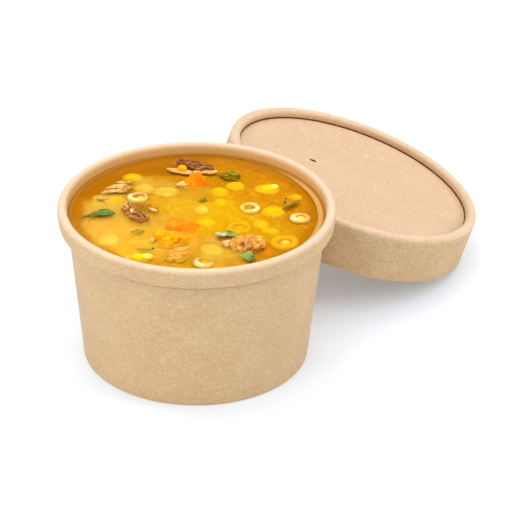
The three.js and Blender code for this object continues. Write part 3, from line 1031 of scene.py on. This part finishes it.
# Small things round the chunks, with no solid of their own in the frame. A flake is x, y, z,
# length, width, turn, bow, ruffle and thickness.
extras = {
    "fat_strips": {
        "food": "fat",
        "flakes": [
            (-10.4, 37.6, -0.1, 7.6, 3.6, -17, 0.3, 0.8, 0.9),
            (-6.2, 36.2, -0.2, 9.0, 3.6, -12, 0.3, 0.8, 0.8),
            (4.6, 36.6, 0.0, 6.6, 3.6, 4, 0.3, 0.8, 0.9), (0.0, 36.4, -0.3, 8.0, 3.0, 8, 0.2, 0.6, 0.8),
            (-36.6, 17.4, 0.0, 9.0, 2.2, 20, 0.3, 0.6, 0.7),
            (-32.6, 18.2, -0.3, 7.0, 3.0, 6, 0.3, 0.6, 0.7),
            (-34.6, 21.8, 0.0, 9.4, 3.0, 26, 0.4, 0.6, 0.7),
            (-31.0, 21.4, -0.3, 8.0, 4.2, 4, 0.3, 0.6, 0.7),
            (-31.2, 26.0, -0.2, 8.6, 2.6, 12, 0.3, 0.6, 0.7),
            (-39.2, 11.6, -0.3, 6.0, 3.0, 8, 0.2, 0.6, 0.7),
            (-18.2, 0.8, 0.6, 5.6, 1.5, -36, 0.3, 0.5, 0.8),
            (13.6, -25.6, -0.1, 5.6, 5.4, 66, 0.5, 0.9, 1.2),
            (-28.2, 1.2, 1.9, 4.6, 1.8, 88, 0.4, 0.5, 1.2),
            (-26.6, -3.6, 2.2, 4.0, 1.5, 96, 0.3, 0.4, 1.0),
            (-17.0, -22.4, -0.25, 6.4, 2.6, 80, 0.3, 0.4, 1.0),
            (-6.6, 25.2, -0.1, 6.4, 3.8, 24, 0.3, 0.5, 1.2)],
        "reliefs": [(0.4, 0.9)]},
    "shreds": {
        "food": "shred",
        "flakes": [
            (-4.6, -31.4, -0.3, 6.0, 2.2, 34, 0.4, 1.1, 1.2),
            (-5.6, -35.0, -0.35, 8.0, 2.4, 24, 0.3, 1.1, 1.2),
            (-8.4, -38.8, -0.35, 7.0, 2.2, 20, 0.3, 1.1, 1.2)],
        "crumbs": [
            (-6.2, -33.4, -1.5, 9.0, 11.0, 0.6, 30, 2.6), (-7.4, -38.4, -1.4, 8.0, 5.0, 0.6, 10, 2.4)],
        "reliefs": [(0.4, 1.6)]},
    "onion_flap": {
        "food": "onion",
        "lumps": [(-22.0, 5.0, -0.5, 7.0, 4.4, 2.2, -30), (-25.0, 6.2, -0.4, 4.0, 3.4, 2.2, 0)],
        "lean": 8,
        "flakes": [(-19.4, 3.0, 0.2, 9.6, 5.0, -36, 0.6, 1.0, 0.8)],
        "reliefs": [(0.8, 1.8), (0.3, 0.7)]},
    "squash_ball": {
        "food": "squash",
        "lumps": [(-7.4, 38.4, 0.3, 4.4, 4.6, 3.6, 0)],
        "reliefs": [(0.4, 1.4)]},
    "sunk_carrot": {
        "food": "carrot",
        "lumps": [(28.4, -29.2, -2.35, 7.6, 10.4, 3.0, -12)],
        "reliefs": [(0.6, 2.4)]},
}


def makeExtra(name, data):
    return finishFood(makeHeap(name, data, 0.22, 2), name, data["food"])


# Rings: x, y, height of the top, outer radius, wall, tilt about X and about Y
pastaRings = {
    "pasta_ring_left": (-24.9, 13.9, 0.05, 3.95, 1.2, 3, -4),
    "pasta_ring_middle": (21.8, 6.5, 0.05, 3.95, 1.3, -4, 2),
    "pasta_ring_right": (42.8, -1.4, 0.05, 3.95, 1.9, 3, -5),
    "pasta_ring_front": (4.1, -39.8, -0.1, 4.1, 1.6, 5, 8),
}
sunkRings = [(-8.0, 5.1, -0.3, 5.0, 1.9), (17.7, -10.3, -0.35, 4.9, 1.9),
             (36.3, -22.0, -0.25, 6.0, 3.4)]
ringShape = {"length": 3.0, "oval": (1.03, 0.97), "spread": 0.75, "spreadDepth": 1.5,
             "uneven": (0.5, 2.2), "sunkUneven": (0.4, 2.4)}


def addRing(x, y, top, outer, wall, tiltX=0.0, tiltY=0.0):
    # a short tube: a torus drawn out upwards, a little out of round, its flanks spread
    # softly under its crest, tilted in the soup
    deselectAll()
    half, crest = ringShape["length"] / 2, outer - wall / 2
    bpy.ops.mesh.primitive_torus_add(major_segments=40, minor_segments=16, major_radius=crest * mm,
                                     minor_radius=wall / 2 * mm, location=(0, 0, 0))
    ring = bpy.context.object
    setMode("EDIT")
    selectAll()
    bpy.ops.transform.resize(value=(*ringShape["oval"], half / (wall / 2)), center_override=(0, 0, 0))
    setMode("OBJECT")
    for vertex in ring.data.vertices:
        radius = math.hypot(vertex.co.x, vertex.co.y)
        under = min(half * mm - vertex.co.z, ringShape["spreadDepth"] * mm)
        side = 1 if radius > crest * mm else -1
        grown = 1 + side * ringShape["spread"] * under / radius
        vertex.co.x *= grown
        vertex.co.y *= grown
    ring.rotation_euler = (math.radians(tiltX), math.radians(tiltY), x * 0.37)
    ring.location = overSoup(x, y, top - half)
    applyPlace(ring)
    return ring


def makePastaRings():
    made = []
    for name, entry in pastaRings.items():
        ring = addRing(*entry)
        roughen(ring, *ringShape["uneven"])
        made.append(finishFood(ring, name + "_food", "pasta", [name]))
    sunk = joinPieces([addRing(*entry) for entry in sunkRings], "sunk_rings")
    roughen(sunk, *ringShape["sunkUneven"])
    finishFood(sunk, "sunk_rings", "sunk_pasta")
    return made


# Corn kernels: x, y, height of the top, length, width, turn
kernels = {
    "corn_kernels": {"food": "corn", "places": [
        (-28.1, 32.4, -0.1, 9.6, 9.0, 10), (8.9, 20.4, -0.05, 9.4, 9.8, 30),
        (15.6, 26.0, 0.0, 8.8, 9.4, 0), (29.0, 24.0, 0.35, 10.4, 9.2, -6),
        (31.4, 4.4, 0.1, 10.4, 10.4, 12), (4.2, -6.0, 0.0, 8.8, 8.4, 0),
        (26.6, -7.4, 0.0, 7.8, 8.4, 20), (-28.3, -32.4, -0.1, 9.2, 8.6, 0),
        (40.8, 17.2, -0.25, 7.8, 7.6, 0), (31.0, -12.4, -0.25, 9.4, 6.4, -24),
        (-22.4, -37.6, 0.5, 8.6, 7.6, 8), (-35.0, 11.4, 0.0, 8.6, 8.0, 8),
        (9.6, 11.7, -0.1, 6.4, 7.2, 0), (4.1, -39.6, -0.3, 5.6, 5.6, 0), (-8.0, 5.1, -0.5, 6.0, 6.0, 0),
        (17.7, -10.3, -0.5, 5.6, 5.6, 0)]},
    # the pale tips at (31.9, 25.2) and (-18.8, -36.8) and the pale spot at (-5.6, 25.4) on the carrot are
    # painted highlights; the other pale kernels are the food's own colour
    "pale_kernels": {"food": "cream", "places": [
        (-23.8, 21.8, 0.0, 10.6, 10.0, -20), (-13.8, 20.4, 0.05, 12.0, 9.8, 5),
        (7.0, -29.4, 0.1, 9.0, 10.2, 60), (1.6, 4.2, 0.05, 6.4, 8.0, 0),
        (-35.6, -22.9, 0.1, 9.4, 10.2, -30), (-5.6, 25.4, 0.15, 5.0, 4.4, 0),
        (31.9, 25.2, 0.65, 3.6, 3.6, 0), (-18.8, -36.8, 0.7, 4.2, 5.0, 70),
        (-25.8, -37.6, 0.2, 3.4, 4.6, 0), (-38.6, 12.4, 0.1, 4.4, 4.6, 0),
        (36.3, -22.0, -0.3, 5.6, 6.4, 0), (-23.8, 13.4, -0.1, 3.0, 3.0, 0),
        (42.8, -1.4, -0.1, 4.4, 4.4, 0)]},
}
# they swell over the size given, lie flat, and rock a little
kernelShape = {"swell": 1.12, "flatness": 0.5, "thickest": 3.6, "sink": 0.2, "rock": 0.06,
               "uneven": (0.3, 3.4)}


def makeKernels(name, data):
    # one kernel shaped, then copied
    deselectAll()
    bpy.ops.mesh.primitive_uv_sphere_add(segments=28, ring_count=16, radius=1, location=(0, 0, 0))
    first = bpy.context.object
    setMode("EDIT")
    selectVertices(first, lambda co: co.x < -0.2)
    bpy.ops.transform.resize(value=(1.02, 0.9, 0.92), center_override=(-0.2, 0, 0))
    setMode("OBJECT")
    copies = []
    for x, y, top, length, width, turn in data["places"]:
        kernel = copyOf(first)
        thick = min(width * kernelShape["flatness"], kernelShape["thickest"])
        swell, rock = kernelShape["swell"], kernelShape["rock"]
        kernel.scale = (length * mm * swell / 2, width * mm * swell / 2, thick * mm / 2)
        kernel.rotation_euler = (rock * math.sin(x), rock * math.cos(y), math.radians(turn))
        kernel.location = overSoup(x, y, top - kernelShape["sink"] - thick / 2)
        copies.append(kernel)
    bpy.data.objects.remove(first)
    piece = joinPieces(copies, name)
    applyPlace(piece)
    roughen(piece, *kernelShape["uneven"])
    return finishFood(piece, name, data["food"])


# Herbs: x, y, z, length, width, turn, bow, ruffle, lean, roll across, lopsided
herbs = [
    (-40.6, -3.0, 0.5, 14.4, 6.2, 16, 0.7, 0.4, 14, 20, 0.6),
    (11.0, 34.6, -0.1, 6.4, 3.6, 6, 0.3, 1.1, 6, 10, 0),
    (14.4, 35.0, 0.2, 6.6, 3.6, -16, 0.3, 1.0, 6, 10, 0),
    (12.6, 36.6, 0.2, 5.0, 3.2, 24, 0.3, 1.0, 6, 10, 0),
    (14.0, 32.2, -0.2, 6.4, 3.6, -48, 0.2, 0.9, 4, 10, 0),
    (11.6, 32.2, -0.2, 5.4, 3.0, -34, 0.2, 0.9, 0, 10, 0),
    (15.4, 33.0, -0.1, 5.0, 2.8, 30, 0.2, 0.9, 0, 10, 0),
    (13.0, -18.2, 0.4, 6.4, 6.6, 8, 0.4, 0.3, 8, 20, 0.3),
    (10.4, -19.2, 0.7, 4.8, 8.4, -14, 0.3, 0.3, 8, 30, 0),
    (21.2, -36.6, 0.8, 6.4, 4.6, -16, 0.9, 0.8, -4, -40, 0.3),
    (22.6, -38.4, 0.4, 4.8, 3.0, -30, 0.3, 0.2, -4, -40, 0),
    (38.9, 8.4, 0.2, 11.6, 3.0, 50, 0.6, 0.3, 0, 30, 0),
    (-23.4, -16.4, -0.2, 5.6, 2.6, 14, 0.1, 0.4, 0, 0, 0),
    (-20.0, -31.6, -0.15, 7.4, 1.6, -4, 0.1, 0.3, 0, 0, 0),
    (2.2, 12.8, -0.35, 4.6, 3.0, 50, 0.1, 0.3, 0, 10, 0)]
leafThickness = 0.22


def addLeaf(x, y, z, length, width, turn, bow, ruffle, lean=0, roll=0, lopsided=0.0, thick=leafThickness):
    # a leaf from a flat grid: pointed at both ends, bowed, rolled across and ruffled
    deselectAll()
    bpy.ops.mesh.primitive_grid_add(x_subdivisions=26, y_subdivisions=12, size=1, location=(0, 0, 0))
    leaf = bpy.context.object
    setMode("EDIT")
    for i in range(27):
        station = i / 26 - 0.5
        selectVertices(leaf, lambda co: abs(co.x - station) < 0.01)
        spread = math.sin(math.pi * (0.02 + 0.96 * (station + 0.5) ** (1.1 + lopsided))) ** 1.1
        bpy.ops.transform.resize(value=(1, max(spread, 0.06), 1),
                                 center_override=(station, -0.4 * lopsided, 0))
        bpy.ops.transform.translate(value=(0, 0, 0.25 * bow / length * (1 - 4 * station * station)))
    selectAll()
    bpy.ops.transform.resize(value=(length * mm, width * mm, length * mm), center_override=(0, 0, 0))
    setMode("OBJECT")
    if roll:
        bend = leaf.modifiers.new("roll", "SIMPLE_DEFORM")
        bend.deform_method = "BEND"
        bend.deform_axis = "X"
        bend.angle = math.radians(roll)
    applyModifiers(leaf)
    roughen(leaf, ruffle, 1.7, direction="Z", shift=(x, y, 0))
    solid = leaf.modifiers.new("blade", "SOLIDIFY")
    solid.thickness = thick * mm
    solid.offset = 0
    applyModifiers(leaf)
    leaf.rotation_euler = (math.radians(lean), 0, math.radians(turn))
    leaf.location = overSoup(x, y, z)
    applyPlace(leaf)
    return leaf


# fresh leaves stand in the back, one leaf shows its whitish underside, and those in front are painted
# lighter, standing in for light on leaves whose curl shades them
herbTones = {"dark": tone(74, 98, 32), "bright": tone(118, 138, 60), "freshDark": tone(120, 108, 0),
             "freshBright": tone(162, 138, 0), "underDark": tone(172, 182, 126),
             "underBright": tone(210, 208, 160), "frontLitDark": tone(124, 148, 60),
             "frontLitBright": tone(190, 202, 130), "edge": tone(52, 84, 20)}


def makeHerbMaterial():
    material, tree, shader = newMaterial("herb_leaf")
    place = millimetres(tree)
    sheet = addNode(tree, "TexCoord").outputs["UV"]
    u, v = addNode(tree, "SeparateXYZ", {0: sheet}).outputs[:2]
    fromRib = calculate(tree, "ABSOLUTE", minus(tree, v, 0.5))
    rib = ramp(tree, fromRib, 0.02, 0.06, 1.0, 0.0)
    slant = scaled(tree, fromRib, -1.6, u)
    sideVeins = ramp(tree, calculate(tree, "SINE", times(tree, slant, 50)), 0.72, 0.98, 0.0, 0.6)
    veins = larger(tree, rib, sideVeins)
    cloud = noise(tree, place, 0.5, 3, 0.6)
    x, y = splitPlace(tree, place)[:2]
    fresh = times(tree, ramp(tree, y, 2.0, 22.0), ramp(tree, x, -10.0, 6.0))
    dark = mixColour(tree, fresh, herbTones["dark"], herbTones["freshDark"])
    bright = mixColour(tree, fresh, herbTones["bright"], herbTones["freshBright"])
    under = ovalMask(tree, place, 10.6, -19.6, 3.0, 4.0, 0, 0.3)
    bright = mixColour(tree, under, bright, herbTones["underBright"])
    under = ovalMask(tree, place, 10.0, -19.4, 2.8, 4.0, 0, 0.3)
    dark = mixColour(tree, under, dark, herbTones["underDark"])
    # painted light: the leaves in front are drawn in lighter tones
    front = ovalMask(tree, place, 17.6, -28.0, 9.0, 15.0, -30, 0.2)
    dark = mixColour(tree, front, dark, herbTones["frontLitDark"])
    bright = mixColour(tree, times(tree, front, 0.6), bright, herbTones["frontLitBright"])
    colour = mixColour(tree, ramp(tree, cloud, 0.35, 0.7), dark, bright)
    colour = mixColour(tree, times(tree, veins, 0.55), colour, bright)
    colour = mixColour(tree, ramp(tree, fromRib, 0.4, 0.5, 0.0, 0.5), colour, herbTones["edge"])
    colour, normal, fade = sunkColour(tree, place, colour, (0.0, 1.2))
    feed(tree, shader, Base_Color=colour, Roughness=ramp(tree, cloud, 0.3, 0.7, 0.34, 0.5),
         Normal=bumped(tree, veins, 0.4, 0.12, normal), Coat_Weight=ramp(tree, fade, 0.0, 0.5, 0.15, 0.0),
         Coat_Roughness=0.15, Specular_IOR_Level=0.1)
    return material


def makeHerbs():
    piece = joinPieces([addLeaf(*entry) for entry in herbs], "herb_leaves")
    return finishPiece(piece, "herb_leaves", herbLeaf, angle=60)


# Dark grains of pepper: x, y, size
grains = [(36.8, 14.0, 0.8), (36.4, 10.8, 1.15), (-25.9, -17.6, 0.8), (-16.6, -30.9, 0.9),
          (-13.0, 8.0, 0.4), (-31.0, 7.8, 0.4), (-12.5, -37.6, 0.4), (-33.0, 9.0, 0.4),
          (8.6, -37.0, 0.35), (20.0, -2.0, 0.3)]


def makeGrains():
    lumps = [addLump(x, y, 0.12, size, size * 0.8, size * 0.7, x * 31) for x, y, size in grains]
    piece = joinPieces(lumps, "pepper_grains")
    applyPlace(piece)
    roughen(piece, 0.2, 0.5)
    return finishPiece(piece, "pepper_grains", grainSkin, angle=80)


def makeGrainMaterial():
    material, tree, shader = newMaterial("pepper_grain")
    place = millimetres(tree)
    colour = mixColour(tree, noise(tree, place, 2.5, 3), tone(18, 24, 8), tone(60, 62, 26))
    feed(tree, shader, Base_Color=colour, Roughness=0.4)
    return material


def makeFloor():
    deselectAll()
    bpy.ops.mesh.primitive_plane_add(size=6, location=(0, 0, 0))
    floor = bpy.context.object
    floor.name = "studio_floor"
    material, tree, shader = newMaterial("studio_floor")
    feed(tree, shader, Base_Color=studio["floor"], Roughness=0.9, Specular_IOR_Level=0.0,
         Emission_Color=(1, 1, 1, 1), Emission_Strength=studio["floorGlow"])
    floor.data.materials.append(material)


camera = {"elevation": 29.335, "roll": 1.137, "distance": 1051.9, "lens": 177.67, "sensor": 36,
          "targetX": 24.76, "targetZ": 44.14}


def makeCamera():
    data = bpy.data.cameras.new("camera")
    data.lens = camera["lens"]
    data.sensor_width = camera["sensor"]
    data.clip_start = 0.01
    data.clip_end = 20
    view = bpy.data.objects.new("camera", data)
    bpy.context.collection.objects.link(view)
    elevation = math.radians(camera["elevation"])
    target = Vector((cupX + camera["targetX"] * mm, cupY, camera["targetZ"] * mm))
    back = Vector((0, -math.cos(elevation), math.sin(elevation)))
    tilt = Matrix.Rotation(math.pi / 2 - elevation, 4, "X")
    roll = Matrix.Rotation(math.radians(camera["roll"]), 4, "Z")
    view.matrix_world = Matrix.Translation(target + back * camera["distance"] * mm) @ tilt @ roll
    bpy.context.scene.camera = view


# The white tent's strength from the side to overhead, and what the wet things mirror of it
studio = {"low": 0.47, "high": 1.75, "glossy": 0.03, "shine": 1.6, "floor": (0.62, 0.665, 0.72, 1),
          "floorGlow": 0.19}
# place, size and power of each soft box; all look at the object
lamps = {
    "top": {"at": (-0.5, 0.5, 1.5), "size": (1.2, 1.2), "power": 7},
    "left": {"at": (-1.5, -1.35, 0.4), "size": (0.7, 0.7), "power": 14.8},
    "right": {"at": (1.95, -0.35, 0.8), "size": (0.9, 0.9), "power": 16.6},
}


def makeLights():
    for name, lamp in lamps.items():
        data = bpy.data.lights.new(name, "AREA")
        data.shape = "RECTANGLE"
        data.size, data.size_y = lamp["size"]
        data.energy = lamp["power"]
        light = bpy.data.objects.new(name, data)
        bpy.context.collection.objects.link(light)
        light.location = lamp["at"]
        light.visible_glossy = False    # the broth would mirror it as one white sheet
        light.rotation_euler = (Vector((0, 0, 0.03)) - light.location).to_track_quat("-Z", "Y").to_euler()
    world = bpy.data.worlds.new("studio")
    world.use_nodes = True
    tree = world.node_tree
    background = tree.nodes["Background"]
    # a white tent, brightest overhead; the wet things mirror only a soft round window in its top
    direction = addNode(tree, "TexCoord").outputs["Generated"]
    up = addNode(tree, "SeparateXYZ", {0: direction}).outputs[2]
    tent = ramp(tree, up, 0.0, 1.0, studio["low"], studio["high"], "LINEAR")
    window = ramp(tree, up, 0.8, 0.95, studio["glossy"], studio["shine"], "LINEAR")
    path = addNode(tree, "LightPath")
    soft = addNode(tree, "Mix", {0: path.outputs["Is Glossy Ray"], 2: tent, 3: window})
    strength = addNode(tree, "Mix", {0: path.outputs["Is Camera Ray"], 2: soft.outputs[0], 3: 1.0})
    feed(tree, background, Color=(1, 1, 1, 1), Strength=strength.outputs[0])
    bpy.context.scene.world = world
    bpy.context.scene.view_settings.view_transform = "Standard"


cupPaper = makeCupPaper()
lidPaper = makeLidPaper()
brothCore = makeBrothCore()
brothFilm = makeBrothFilm()
foodMaterials = {name: makeFoodMaterial(name, settings) for name, settings in foods.items()}
herbLeaf = makeHerbMaterial()
grainSkin = makeGrainMaterial()
print("materials made")

makeCamera()
makeLights()
makeFloor()
makeCup()
makeCupBase()
makeLidRing()
makeLidPanel()
print("cup and lid made")
makeSoup()
floating = [makeChunk(name, data) for name, data in chunks.items()]
floating += makePastaRings()
print("chunks and rings made")
for name, data in extras.items():
    floating.append(makeExtra(name, data))
for name, data in kernels.items():
    makeKernels(name, data)
makeHerbs()
makeGrains()
makeFilm(floating)
print("soup made")
